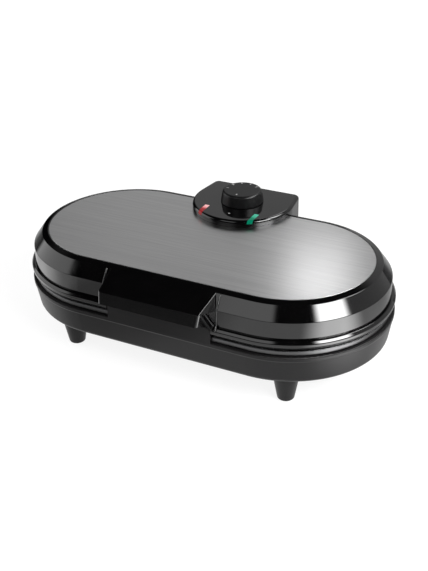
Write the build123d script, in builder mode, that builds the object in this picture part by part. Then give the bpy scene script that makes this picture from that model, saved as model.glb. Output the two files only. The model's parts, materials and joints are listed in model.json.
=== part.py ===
from build123d import *
import math
import os

# Double heart waffle maker: an oblong base on four feet, a hinged lid with a steel top plate,
# and a control housing with a thermostat knob at the middle of the lid's rear edge.
# +X runs along the length, -Y is the handle side, +Z is up; the origin is on the table,
# below the middle of the plan.

os.makedirs("parts", exist_ok=True)

# Plan: two round ends joined by straight sides, so a radius here is also half a width
end_spacing = 168.0
rim_radius = 96.0
half_spacing = end_spacing / 2

# Heights above the table
foot_height = 30.0
ledge_height = 58.3
lower_face = 63.2
parting_gap = 0.4
upper_face = lower_face + parting_gap
lid_top = 103.7
roof_top = 110.3

# Base housing
base_bottom_radius = 91.6
base_wall_radius = 95.4
base_wall_top = 53.6
base_corner = 5.0
ledge_step = 1.2
inner_drop = 8.0
floor_thickness = 3.0
wall = 2.8
groove_radius = 90.2
shelf_width = 3.2
shelf_height = 54.0
floor_top = foot_height + floor_thickness
shelf_radius = groove_radius - shelf_width

# Lower and upper cooking plates
plate_edge_radius = 92.8
plate_edge_height = 4.3
spigot_wall = 3.0
spigot_gap = 0.4
upper_plate_gap = 0.5
heart_count = 5
heart_lobe_radius = 18.5
heart_lobe_offset = 16.0
heart_gap = 4.0
heart_depth = 10.5
peg_recess = 4.6
peg_pitch = 11.0
peg_groove = 3.6
peg_margin = 3.4
pan_wall = 3.0
plate_boss_drop = 17.5
plate_screw_depth = 5.4
plate_boss_radius = 3.8

# Lid housing
lid_wall_radius = 92.2
lid_wall_bottom = 74.5
crease_radius = 91.9
crease_height = 90.0
shoulder_radius = 83.0
lid_rim_radius = 77.6
bead_radius = 96.0
bead_height = 73.6
bead_land = 1.9
bead_face_top = 2.4
bead_face_bottom = 5.2
bead_lip = 1.9
steel_radius = 76.6
steel_thickness = 0.8
steel_edge = 0.25
seat_gap = 0.3
lid_inner_radius = 89.4
lid_roof = 2.8

# Screws: one small size for the covers, plates and handle
screw_radius = 1.5
screw_head_radius = 2.9
screw_head_height = 2.4
tapped_gap = 0.05
through_gap = 0.3
screw_end_gap = 0.4
screw_cross_length = 2.6
screw_cross_width = 0.7
post_radius = 4.2
fit_gap = 0.1
body_gap = 0.3

# Feet
foot_x = 110.0
foot_y = 66.0
foot_top_radius = 12.8
foot_bottom_radius = 7.3
foot_rounding = 2.4
foot_pad_radius = 5.2
foot_pad_depth = 2.4
foot_pad_proud = 0.6
foot_screw_head = 22.0

# Handle on the lid and the tongue on the base that fills the space behind it
handle_root_half = 56.2
handle_lip_half = 49.0
handle_reach = 111.0
handle_wall = 2.8
handle_corner = 3.0
handle_edge = 0.7
bevel_inset = 4.3
lip_top = 93.5
lip_bottom = 83.0
lip_flare = 3.0
tongue_half = 51.5
tongue_back = 93.1
tongue_top = 79.0
tongue_lean = 1.2
tongue_edge = 0.6
tongue_gap = 1.0
cheek_gap = 0.7
panel_extra = 0.4
finger_back_wall = 2.5
finger_side_wall = 4.0
handle_screw_x = 30.0
handle_screw_z = 84.0
handle_screw_length = 7.4

# The handle's panel carries on the slope of the lid's rim, so the shoulder lies on that slope
panel_slope = (lid_top - lip_top) / (handle_reach - lid_rim_radius)
shoulder_height = lid_top - panel_slope * (shoulder_radius - lid_rim_radius)
lip_out = handle_reach + lip_flare

# Control housing: a half round front, drafted sides and a flat back over the hinge
dee_centre = 81.0
dee_radius = 50.6
dee_rear = 114.5
dee_rear_half = 46.5
dee_rear_corner = 6.0
dee_rim_radius = 3.0
dee_wall = 2.8
skirt_bottom = 66.0
bay_half = 24.0
bay_front = 52.0
bay_floor = 86.0
control_screw_front = (38.0, 58.0)
control_screw_rear = (44.0, 70.0)
control_boss_wall = 0.7
roof_skin = 1.4

# Hinge
hinge_y = 104.0
hinge_z = 62.0
barrel_radius = 6.8
barrel_half = 30.0
ear_radius = 6.5
ear_thickness = 5.0
ear_gap = 1.0
pin_radius = 2.5
pin_running_gap = 0.05
pin_depth = 9.0
pin_head_radius = 3.8
pin_head_height = 1.4
tower_rear = 106.5
tower_bottom = 31.0

# Cord inlet in the back of the hinge tower
inlet_z = 41.0
inlet_bore = 3.6
inlet_neck = 4.9
inlet_flange = 6.8
inlet_flange_thickness = 1.5
tower_wall = 3.0
passage_height = 2 * inlet_flange + 1.0

# Knob, thermostat and lamps
knob_y = 78.0
knob_base_radius = 21.1
knob_top_radius = 19.3
knob_height = 11.4
knob_edge = 2.8
knob_foot_edge = 0.3
knob_lift = 0.4
knob_wall = 2.6
knob_hub_radius = 6.0
shaft_radius = 3.0
shaft_flat = 2.0
bush_radius = 5.0
nut_across = 14.0
nut_height = 2.6
thermostat_width = 32.0
thermostat_length = 27.0
thermostat_height = 16.5
lens_x = 26.5
lens_width = 4.6
lens_inner = 54.5
lens_depth = 3.2
lamp_radius = 2.3
lamp_length = 15.0
lamp_gap = 0.2
lamp_drop = 0.4
cradle_wall = 1.4
cradle_length = 8.0
shaft_fit = 0.03
hinge_fit = 0.02

lamp_y = lens_inner - 1.0
lamp_spots = [(-lens_x, lamp_y), (lens_x, lamp_y)]

# Heating elements and reflectors
element_radius = 3.25
element_ring = 45.0
element_leg = 12.0
element_end = 58.0
element_bend = 6.0
reflector_radius = 76.0
reflector_sheet = 0.6
reflector_edge = 4.0
reflector_height = 39.7
reflector_screw_x = 110.0
reflector_screw_y = 30.0
reflector_screw_length = 8.0
terminal_notch = 20.0
notch_gap = 0.5
bush_length = 7.0
bush_wall = 1.2
tab_length = 7.0
tab_width = 6.0
tab_thickness = 0.8

# Terminal block and thermal fuse
block_y = 72.0
block_length = 12.0
block_width = 30.0
block_height = 12.0
pole_pitch = 9.0
wire_hole_radius = 1.8
wire_hole_height = 4.5
block_screw_height = 3.6
block_screw_slot = 0.8
fuse_y = -60.0
fuse_radius = 2.4
fuse_length = 22.0
clip_width = 8.0
clip_sheet = 0.8
clip_foot = 6.4

# Heart cells: each heart points at the middle of its flower, and its sides run along the
# gaps between neighbours, so the lobes' centres follow from the angle between two hearts
half_angle = math.pi / heart_count
heart_tip = heart_gap / 2 / math.sin(half_angle)
heart_lobe_x = heart_tip + (
    heart_lobe_radius + heart_lobe_offset * math.cos(half_angle)
) / math.sin(half_angle)
heart_reach = heart_lobe_x + heart_lobe_radius
tangent_x = heart_lobe_x - heart_lobe_radius * math.sin(half_angle)
tangent_y = heart_lobe_offset + heart_lobe_radius * math.cos(half_angle)

# Places of the cooking plate screws: under the steel plate, the end screws outside the heaters
# and the others in the corners between the two flowers
end_screw_radius = 68.0
end_screw_angle = 50.0
middle_screw_x = 30.0
middle_screw_y = 70.0
end_screw_x = half_spacing + end_screw_radius * math.cos(math.radians(end_screw_angle))
end_screw_y = end_screw_radius * math.sin(math.radians(end_screw_angle))
plate_screw_spots = [
    (side_x * x, side_y * y)
    for x, y in ((end_screw_x, end_screw_y), (middle_screw_x, middle_screw_y))
    for side_x in (-1, 1)
    for side_y in (-1, 1)
]
foot_spots = [(side_x * foot_x, side_y * foot_y) for side_x in (-1, 1) for side_y in (-1, 1)]
control_screw_spots = [
    (side * x, y) for side in (-1, 1) for x, y in (control_screw_front, control_screw_rear)
]
reflector_screw_spots = [
    (side_x * reflector_screw_x, side_y * reflector_screw_y) for side_x in (-1, 1) for side_y in (-1, 1)
]
handle_screw_spots = [(-handle_screw_x, handle_screw_z), (handle_screw_x, handle_screw_z)]


def half_section(outline):
    """A closed outline from points of distance out, height and corner radius."""
    with BuildSketch() as face:
        with BuildLine():
            FilletPolyline(
                *[(out, up) for out, up, _ in outline],
                radius=[corner for _, _, corner in outline],
                close=True,
            )
        make_face()
    return face.sketch


def around(outline):
    """A half section carried round the oblong plan: along the sides and turned at the ends."""
    section = half_section(outline)
    with BuildPart() as solid:
        with BuildSketch(Plane.YZ):
            add(section)
            mirror(about=Plane.YZ)
        extrude(amount=half_spacing)
        with BuildSketch(Plane.YZ.offset(half_spacing)):
            add(section)
        revolve(axis=Axis((half_spacing, 0, 0), (0, 0, -1)), revolution_arc=180)
        mirror(about=Plane.YZ)
    return solid.part


def turned(outline, x=0.0, y=0.0):
    """A half section turned about an upright axis at x, y."""
    with BuildPart() as solid:
        with BuildSketch(Plane.XZ.offset(-y)):
            with Locations((x, 0)):
                add(half_section(outline))
        revolve(axis=Axis((x, y, 0), (0, 0, 1)))
    return solid.part


def dee(inset=0.0):
    """The plan of the control housing, drawn in from its edge by inset.

    The drafted sides run from the rear corners and touch the round front without a kink.
    """
    across, along = dee_rear_half, dee_rear - dee_centre
    touch = math.atan2(along, across) - math.acos(dee_radius / math.hypot(across, along))
    touch_x = dee_radius * math.cos(touch)
    touch_y = dee_centre + dee_radius * math.sin(touch)
    with BuildSketch() as plan:
        with BuildLine():
            ThreePointArc((-touch_x, touch_y), (0, dee_centre - dee_radius), (touch_x, touch_y))
            Polyline(
                (touch_x, touch_y),
                (dee_rear_half, dee_rear),
                (-dee_rear_half, dee_rear),
                (-touch_x, touch_y),
            )
        make_face()
        fillet(plan.vertices().group_by(Axis.Y)[-1], radius=dee_rear_corner)
        if inset:
            offset(amount=-inset)
    return plan.sketch


def screw(head_at, length, down=True):
    """A pan head screw at the origin of the plan; its shank runs down or up from the head's face."""
    way = -1 if down else 1
    with BuildPart() as solid:
        with BuildSketch(Plane.XY.offset(head_at)):
            Circle(screw_head_radius)
        extrude(amount=-way * screw_head_height)
        with BuildSketch(Plane.XY.offset(head_at)):
            Circle(screw_radius)
        extrude(amount=way * length)
        with BuildSketch(Plane.XY.offset(head_at - way * screw_head_height)):
            Rectangle(screw_cross_length, screw_cross_width)
            Rectangle(screw_cross_width, screw_cross_length)
        extrude(amount=way * screw_head_height / 2, mode=Mode.SUBTRACT)
    return solid.part


def heart(inset=0.0):
    """One heart cell, drawn in by inset."""
    with BuildSketch() as cell:
        with Locations((heart_lobe_x, heart_lobe_offset), (heart_lobe_x, -heart_lobe_offset)):
            Circle(heart_lobe_radius)
        Polygon(
            (heart_tip, 0),
            (tangent_x, tangent_y),
            (heart_lobe_x, heart_lobe_offset),
            (heart_lobe_x, -heart_lobe_offset),
            (tangent_x, -tangent_y),
            align=None,
        )
        if inset:
            offset(amount=-inset)
    return cell.sketch


def heart_grooves():
    """The floor of one heart cell around its square pegs."""
    rows = math.ceil(heart_reach / peg_pitch)
    with BuildSketch() as pegs:
        add(heart(peg_margin))
        for step in range(-rows, rows + 1):
            with Locations((heart_lobe_x, step * peg_pitch)):
                Rectangle(2.2 * heart_reach, peg_groove, mode=Mode.SUBTRACT)
            with Locations((heart_lobe_x + (step + 0.5) * peg_pitch, 0)):
                Rectangle(peg_groove, 2.2 * heart_reach, mode=Mode.SUBTRACT)
    with BuildSketch() as floor:
        add(heart())
        add(pegs.sketch, mode=Mode.SUBTRACT)
    return floor.sketch


def flowers(cell):
    """Two flowers of hearts, one about the middle of each round end, mirror images of each other."""
    with BuildSketch() as pattern:
        with Locations((half_spacing, 0)):
            with PolarLocations(0, heart_count):
                add(cell)
        mirror(about=Plane.YZ)
    return pattern.sketch


def cooking_plate(edge_radius, spigot_depth):
    """A cast plate with its face up at height 0; the spigot sets it into its housing."""
    with BuildPart() as plate:
        add(around([(0, -plate_edge_height, 0), (edge_radius, -plate_edge_height, 0.6),
                    (edge_radius, 0, 0.8), (0, 0, 0)]))
        if spigot_depth:
            spigot_out = groove_radius - spigot_gap
            add(around([(spigot_out - spigot_wall, -spigot_depth, 0), (spigot_out, -spigot_depth, 0),
                        (spigot_out, -plate_edge_height, 0),
                        (spigot_out - spigot_wall, -plate_edge_height, 0)]))
        with BuildSketch(Plane.XY.offset(-plate_edge_height)):
            with Locations((half_spacing, 0), (-half_spacing, 0)):
                Circle(heart_reach + pan_wall)
        extrude(amount=-(heart_depth + pan_wall - plate_edge_height))
        with BuildSketch(Plane.XY.offset(-plate_edge_height)):
            with Locations(*plate_screw_spots):
                Circle(plate_boss_radius)
        extrude(amount=plate_edge_height - plate_boss_drop)
        with BuildSketch():
            add(flowers(heart()))
        extrude(amount=-peg_recess, mode=Mode.SUBTRACT)
        with BuildSketch(Plane.XY.offset(-peg_recess)):
            add(flowers(heart_grooves()))
        extrude(amount=peg_recess - heart_depth, mode=Mode.SUBTRACT)
        with BuildSketch(Plane.XY.offset(-plate_boss_drop)):
            with Locations(*plate_screw_spots):
                Circle(screw_radius + tapped_gap)
        extrude(amount=plate_screw_depth, mode=Mode.SUBTRACT)
    return plate.part


def element():
    """A round heater tube in the plane of height 0: one loop below both flowers, legs to the rear."""
    turn = half_spacing + element_ring
    with BuildPart() as tube:
        with BuildLine() as route:
            FilletPolyline(
                (-element_leg, element_end),
                (-element_leg, element_ring),
                (-half_spacing, element_ring),
                radius=element_bend,
            )
            ThreePointArc((-half_spacing, element_ring), (-turn, 0), (-half_spacing, -element_ring))
            Line((-half_spacing, -element_ring), (half_spacing, -element_ring))
            ThreePointArc((half_spacing, -element_ring), (turn, 0), (half_spacing, element_ring))
            FilletPolyline(
                (half_spacing, element_ring),
                (element_leg, element_ring),
                (element_leg, element_end),
                radius=element_bend,
            )
        with BuildSketch(Plane(route.line @ 0, z_dir=route.line % 0)):
            Circle(element_radius)
        sweep()
    return tube.part


def reflector(edge_up):
    """A shallow sheet tray in the plane of height 0, notched round the posts and the terminals."""
    way = 1 if edge_up else -1
    low, high = sorted((0, way * reflector_sheet))
    tip = way * reflector_edge
    inner = reflector_radius - reflector_sheet
    floor_out = way * reflector_sheet
    with BuildPart() as tray:
        add(around([(0, 0, 0), (reflector_radius, 0, 0), (reflector_radius, tip, 0), (inner, tip, 0),
                    (inner, floor_out, 0), (0, floor_out, 0)]))
        with BuildSketch(Plane.XY.offset(-reflector_edge)):
            with Locations(*plate_screw_spots):
                Circle(post_radius + notch_gap)
            with Locations((0, reflector_radius)):
                Rectangle(2 * bay_half, 2 * terminal_notch)
        extrude(amount=2 * reflector_edge, mode=Mode.SUBTRACT)
    return tray.part


# Base housing: tub, rim ledge, feet bosses, posts, tongue in front and hinge tower behind
with BuildPart() as base_housing:
    add(around([
        (0, foot_height, 0),
        (base_bottom_radius, foot_height, base_corner),
        (base_wall_radius, base_wall_top, 0.8),
        (rim_radius, base_wall_top + ledge_step, 0.8),
        (rim_radius, ledge_height, 1.0),
        (groove_radius, ledge_height, 0.4),
        (groove_radius, shelf_height, 0),
        (shelf_radius, shelf_height, 0),
        (shelf_radius, shelf_height - wall, 0),
        (base_wall_radius - wall, base_wall_top - inner_drop, 0),
        (base_bottom_radius - wall, floor_top, base_corner - wall),
        (0, floor_top, 0),
    ]))
    # Posts under the cooking plate and bosses over the feet
    with BuildSketch(Plane.XY.offset(floor_top)):
        with Locations(*plate_screw_spots):
            Circle(post_radius)
    extrude(amount=lower_face - plate_boss_drop - fit_gap - floor_top)
    with BuildSketch(Plane.XY.offset(floor_top)):
        with Locations(*foot_spots):
            Circle(post_radius)
    extrude(amount=reflector_height - body_gap - floor_top)
    # Tongue behind the lid's handle
    with BuildSketch(Plane.YZ):
        Polygon(
            (-tongue_back, ledge_height - 1.5),
            (-rim_radius, ledge_height - 1.5),
            (-rim_radius + tongue_lean, tongue_top),
            (-tongue_back, tongue_top),
            align=None,
        )
    extrude(amount=tongue_half, both=True)
    fillet(base_housing.edges().filter_by(Axis.X).group_by(Axis.Z)[-1], radius=tongue_edge)
    # Hinge tower: a barrel on a neck that grows out of the rear wall
    with BuildSketch(Plane.YZ):
        with Locations((hinge_y, hinge_z)):
            Circle(barrel_radius)
        Polygon(
            (base_wall_radius - 4, tower_bottom),
            (tower_rear - 6, tower_bottom),
            (tower_rear, tower_bottom + 6),
            (tower_rear, hinge_z),
            (hinge_y - barrel_radius + 0.4, hinge_z),
            (rim_radius - 1, ledge_height - 1.5),
            (base_wall_radius - 4, ledge_height - 1.5),
            align=None,
        )
    extrude(amount=barrel_half, both=True)
    # Cord passage through the tower and the rear wall
    with BuildSketch(Plane.XZ.offset(-(shelf_radius - 2))):
        with Locations((0, inlet_z)):
            Rectangle(4 * inlet_neck, passage_height)
    extrude(amount=-(tower_rear - tower_wall - shelf_radius + 2), mode=Mode.SUBTRACT)
    with BuildSketch(Plane.XZ.offset(-tower_rear)):
        with Locations((0, inlet_z)):
            Circle(inlet_neck + fit_gap)
    extrude(amount=tower_wall, mode=Mode.SUBTRACT)
    # Pin bores from each end of the barrel
    with BuildSketch(Plane.YZ.offset(barrel_half)):
        with Locations((hinge_y, hinge_z)):
            Circle(pin_radius + pin_running_gap)
    extrude(amount=-(pin_depth + 0.5), mode=Mode.SUBTRACT)
    with BuildSketch(Plane.YZ.offset(-barrel_half)):
        with Locations((hinge_y, hinge_z)):
            Circle(pin_radius + pin_running_gap)
    extrude(amount=pin_depth + 0.5, mode=Mode.SUBTRACT)
    # Screw holes
    with BuildSketch(Plane.XY.offset(foot_height)):
        with Locations(*plate_screw_spots):
            Circle(screw_radius + through_gap)
    extrude(amount=lower_face - foot_height - plate_boss_drop, mode=Mode.SUBTRACT)
    with BuildSketch(Plane.XY.offset(foot_height)):
        with Locations(*plate_screw_spots):
            Circle(screw_head_radius + through_gap)
    extrude(amount=floor_thickness, mode=Mode.SUBTRACT)
    with BuildSketch(Plane.XY.offset(foot_height)):
        with Locations(*foot_spots):
            Circle(screw_radius + tapped_gap)
    extrude(amount=reflector_height - foot_height - 1, mode=Mode.SUBTRACT)
base_housing.part.label = "base_housing"
export_step(base_housing.part, "parts/base_housing.step")

# Feet, their rubber pads and screws
pad_hole = foot_pad_proud + foot_pad_depth
foot_names = {(-1, -1): "front_left", (1, -1): "front_right", (-1, 1): "rear_left", (1, 1): "rear_right"}
for (side_x, side_y), place in foot_names.items():
    with BuildPart() as foot:
        add(turned([
            (foot_pad_radius + fit_gap, foot_pad_proud, 0),
            (foot_bottom_radius + 0.2, foot_pad_proud, foot_rounding),
            (foot_top_radius, foot_height - fit_gap, 0),
            (screw_radius + through_gap, foot_height - fit_gap, 0),
            (screw_radius + through_gap, foot_screw_head, 0),
            (screw_head_radius + through_gap, foot_screw_head, 0),
            (screw_head_radius + through_gap, pad_hole + fit_gap, 0),
            (foot_pad_radius + fit_gap, pad_hole + fit_gap, 0),
        ], side_x * foot_x, side_y * foot_y))
    foot.part.label = "foot_" + place
    export_step(foot.part, "parts/foot_" + place + ".step")

with BuildPart() as foot_pads:
    with BuildSketch():
        with Locations(*foot_spots):
            Circle(foot_pad_radius)
    extrude(amount=pad_hole)
    chamfer(foot_pads.edges().group_by(Axis.Z)[0], length=0.5)
foot_pads.part.label = "foot_pads"
export_step(foot_pads.part, "parts/foot_pads.step")

foot_screw = screw(foot_screw_head - fit_gap, reflector_height - foot_screw_head - 3, down=False)
with BuildPart() as foot_screws:
    with Locations(*foot_spots):
        add(foot_screw)
foot_screws.part.label = "foot_screws"
export_step(foot_screws.part, "parts/foot_screws.step")

# Lower cooking plate, set into the base on its spigot
lower_plate_solid = cooking_plate(plate_edge_radius, lower_face - shelf_height - fit_gap)
with BuildPart() as lower_cooking_plate:
    with Locations((0, 0, lower_face)):
        add(lower_plate_solid)
lower_cooking_plate.part.label = "lower_cooking_plate"
export_step(lower_cooking_plate.part, "parts/lower_cooking_plate.step")

# Upper cooking plate: the same casting without a spigot, face down inside the lid's wall
upper_plate_solid = cooking_plate(lid_inner_radius - upper_plate_gap, 0)
with BuildPart() as upper_cooking_plate:
    with Locations((0, 0, -upper_face)):
        add(upper_plate_solid)
    mirror(about=Plane.XY, mode=Mode.REPLACE)
upper_cooking_plate.part.label = "upper_cooking_plate"
export_step(upper_cooking_plate.part, "parts/upper_cooking_plate.step")

plate_screw_reach = plate_screw_depth - screw_end_gap
lower_screw_length = lower_face - plate_boss_drop - floor_top + plate_screw_reach
lower_screw = screw(floor_top - fit_gap, lower_screw_length, down=False)
with BuildPart() as lower_plate_screws:
    with Locations(*plate_screw_spots):
        add(lower_screw)
lower_plate_screws.part.label = "lower_plate_screws"
export_step(lower_plate_screws.part, "parts/lower_plate_screws.step")

# Heating elements, each just clear of the pans it heats
element_drop = heart_depth + pan_wall + element_radius + fit_gap
element_tube = element()
with BuildPart() as lower_heating_element:
    with Locations((0, 0, lower_face - element_drop)):
        add(element_tube)
lower_heating_element.part.label = "lower_heating_element"
export_step(lower_heating_element.part, "parts/lower_heating_element.step")
with BuildPart() as upper_heating_element:
    with Locations((0, 0, upper_face + element_drop)):
        add(element_tube)
upper_heating_element.part.label = "upper_heating_element"
export_step(upper_heating_element.part, "parts/upper_heating_element.step")

# Ceramic end bushes with flat tabs on the legs of each element
for height, place in ((lower_face - element_drop, "lower"), (upper_face + element_drop, "upper")):
    with BuildPart() as terminals:
        with BuildSketch(Plane.XZ.offset(-(element_end - bush_length + 1))):
            with Locations((-element_leg, height), (element_leg, height)):
                Circle(element_radius + bush_wall)
        extrude(amount=-bush_length)
        with BuildSketch(Plane.XZ.offset(-(element_end - bush_length + 1))):
            with Locations((-element_leg, height), (element_leg, height)):
                Circle(element_radius + tapped_gap)
        extrude(amount=-(bush_length - 1 + tapped_gap), mode=Mode.SUBTRACT)
        with BuildSketch(Plane.XZ.offset(-(element_end + 1))):
            with Locations((-element_leg, height), (element_leg, height)):
                Rectangle(tab_width, tab_thickness)
        extrude(amount=-tab_length)
    terminals.part.label = place + "_element_terminals"
    export_step(terminals.part, "parts/" + place + "_element_terminals.step")

# Reflectors behind the elements
lower_tray = reflector(True)
with BuildPart() as lower_reflector:
    with Locations((0, 0, reflector_height)):
        add(lower_tray)
lower_reflector.part.label = "lower_reflector"
export_step(lower_reflector.part, "parts/lower_reflector.step")

upper_reflector_height = upper_face + lower_face - reflector_height
upper_tray = reflector(False)
with BuildPart() as upper_reflector:
    with Locations((0, 0, upper_reflector_height)):
        add(upper_tray)
    with BuildSketch(Plane.XY.offset(upper_reflector_height - reflector_sheet)):
        with Locations(*reflector_screw_spots):
            Circle(screw_radius + through_gap)
    extrude(amount=reflector_sheet, mode=Mode.SUBTRACT)
upper_reflector.part.label = "upper_reflector"
export_step(upper_reflector.part, "parts/upper_reflector.step")

reflector_screw_seat = upper_reflector_height - reflector_sheet - fit_gap
reflector_screw = screw(reflector_screw_seat, reflector_screw_length, down=False)
with BuildPart() as upper_reflector_screws:
    with Locations(*reflector_screw_spots):
        add(reflector_screw)
upper_reflector_screws.part.label = "upper_reflector_screws"
export_step(upper_reflector_screws.part, "parts/upper_reflector_screws.step")

# Lid housing: an inverted tub with a bead round its lower edge and a seat for the steel plate
seat_height = lid_top - steel_thickness - fit_gap
lid_underside = seat_height - lid_roof
ear_inner = barrel_half + ear_gap
with BuildPart() as lid_housing:
    add(around([
        (0, seat_height, 0),
        (steel_radius + seat_gap, seat_height, 0),
        (steel_radius + seat_gap, lid_top, 0.3),
        (lid_rim_radius, lid_top, 0.8),
        (shoulder_radius, shoulder_height, 1.0),
        (crease_radius, crease_height, 0.8),
        (lid_wall_radius, lid_wall_bottom + 0.6, 0.2),
        (lid_wall_radius - 1.0, lid_wall_bottom, 0.2),
        (lid_wall_radius - 1.0, bead_height, 0.2),
        (bead_radius - bead_land, bead_height, 0.8),
        (bead_radius, bead_height - bead_face_top, 1.6),
        (bead_radius, bead_height - bead_face_bottom, 2.0),
        (bead_radius - 2.4, upper_face + bead_lip, 0.4),
        (bead_radius - 3.4, upper_face, 0.3),
        (lid_inner_radius, upper_face, 0.3),
        (lid_inner_radius, crease_height - 1.2, 0.8),
        (shoulder_radius - wall, lid_underside, 1.0),
        (0, lid_underside, 0),
    ]))
    # Posts for the cooking plate and the reflector
    with BuildSketch(Plane.XY.offset(lid_underside)):
        with Locations(*plate_screw_spots):
            Circle(post_radius)
    extrude(amount=-(lid_underside - upper_face - plate_boss_drop - fit_gap))
    with BuildSketch(Plane.XY.offset(lid_underside)):
        with Locations(*reflector_screw_spots):
            Circle(plate_boss_radius)
    extrude(amount=-(lid_underside - upper_reflector_height - fit_gap))
    # Hinge ears on the rear wall
    for side in (-1, 1):
        with BuildSketch(Plane.YZ.offset(side * ear_inner)):
            with Locations((hinge_y, hinge_z)):
                Circle(ear_radius)
            Polygon(
                (lid_inner_radius + 1, upper_face + 5),
                (hinge_y - ear_radius, hinge_z),
                (hinge_y + ear_radius, hinge_z),
                (hinge_y + ear_radius - 3, crease_height - 8),
                (lid_inner_radius + 1, crease_height - 4),
                align=None,
            )
        extrude(amount=side * ear_thickness)
    with BuildSketch(Plane.YZ):
        with Locations((hinge_y, hinge_z)):
            Circle(pin_radius + hinge_fit)
    extrude(amount=ear_inner + ear_thickness, both=True, mode=Mode.SUBTRACT)
    # Room for the tongue in the bead, under the handle
    with BuildSketch(Plane.XY.offset(upper_face - 1)):
        with Locations((0, -(bead_radius + lid_wall_radius + 1.2) / 2)):
            Rectangle(2 * (tongue_half + tongue_gap - 0.3), bead_radius - lid_wall_radius + 0.6)
    extrude(amount=tongue_top + tongue_gap - upper_face + 1, mode=Mode.SUBTRACT)
    # Control bay under the control housing
    with BuildSketch(Plane.XY.offset(bay_floor)):
        with Locations((0, bay_front)):
            Rectangle(2 * bay_half, rim_radius - bay_front, align=(Align.CENTER, Align.MIN))
    extrude(amount=lid_top - bay_floor + 1, mode=Mode.SUBTRACT)
    with BuildSketch(Plane.XY.offset(lid_underside)):
        with Locations(*lamp_spots):
            Rectangle(2 * (lamp_radius + body_gap), lamp_length + 2 * body_gap)
    extrude(amount=lid_roof, mode=Mode.SUBTRACT)
    # Screw holes
    with BuildSketch(Plane.XY.offset(seat_height)):
        with Locations(*plate_screw_spots):
            Circle(screw_radius + through_gap)
    extrude(amount=-(seat_height - upper_face - plate_boss_drop), mode=Mode.SUBTRACT)
    with BuildSketch(Plane.XY.offset(seat_height)):
        with Locations(*plate_screw_spots):
            Circle(screw_head_radius + through_gap)
    extrude(amount=-(screw_head_height + fit_gap), mode=Mode.SUBTRACT)
    with BuildSketch(Plane.XY.offset(seat_height)):
        with Locations(*control_screw_spots):
            Circle(screw_radius + through_gap)
    extrude(amount=-lid_roof, mode=Mode.SUBTRACT)
    with BuildSketch(Plane.XY.offset(upper_reflector_height)):
        with Locations(*reflector_screw_spots):
            Circle(screw_radius + tapped_gap)
    extrude(amount=reflector_screw_length + screw_end_gap, mode=Mode.SUBTRACT)
    with BuildSketch(Plane.XZ.offset(lid_inner_radius - 2)):
        with Locations(*handle_screw_spots):
            Circle(screw_radius + through_gap)
    extrude(amount=lid_wall_radius - lid_inner_radius + 4, mode=Mode.SUBTRACT)
lid_housing.part.label = "lid_housing"
export_step(lid_housing.part, "parts/lid_housing.step")

plate_screw_top = seat_height - screw_head_height - fit_gap
upper_screw_length = (
    plate_screw_top - upper_face - plate_boss_drop + plate_screw_reach
)
upper_screw = screw(plate_screw_top, upper_screw_length)
with BuildPart() as upper_plate_screws:
    with Locations(*plate_screw_spots):
        add(upper_screw)
upper_plate_screws.part.label = "upper_plate_screws"
export_step(upper_plate_screws.part, "parts/upper_plate_screws.step")

# Steel top plate, open where the control bay is
with BuildPart() as steel_top_plate:
    with BuildSketch(Plane.XY.offset(seat_height + fit_gap / 2)):
        SlotCenterToCenter(end_spacing, 2 * steel_radius)
        with Locations((0, bay_front)):
            Rectangle(2 * bay_half, rim_radius, align=(Align.CENTER, Align.MIN), mode=Mode.SUBTRACT)
        with Locations(*control_screw_spots):
            Circle(screw_radius + through_gap, mode=Mode.SUBTRACT)
        with Locations(*lamp_spots):
            Rectangle(
                2 * (lamp_radius + body_gap),
                lamp_length + 2 * body_gap,
                mode=Mode.SUBTRACT,
            )
    extrude(amount=steel_thickness)
    top_face = steel_top_plate.faces().sort_by(Axis.Z)[-1]
    fillet(top_face.outer_wire().edges(), radius=steel_edge)
steel_top_plate.part.label = "steel_top_plate"
export_step(steel_top_plate.part, "parts/steel_top_plate.step")

# The lid's outer form with a seam gap, taken out of what sits on it
seam = fit_gap
lid_form = around([
    (0, upper_face, 0),
    (bead_radius + seam, upper_face, 0),
    (bead_radius + seam, bead_height + seam, 0),
    (lid_wall_radius + seam, lid_wall_bottom + 1.6, 0),
    (crease_radius + seam, crease_height + seam, 0),
    (shoulder_radius + seam, shoulder_height + seam, 0),
    (lid_rim_radius, lid_top + seam, 0),
    (0, lid_top + seam, 0),
])

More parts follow.
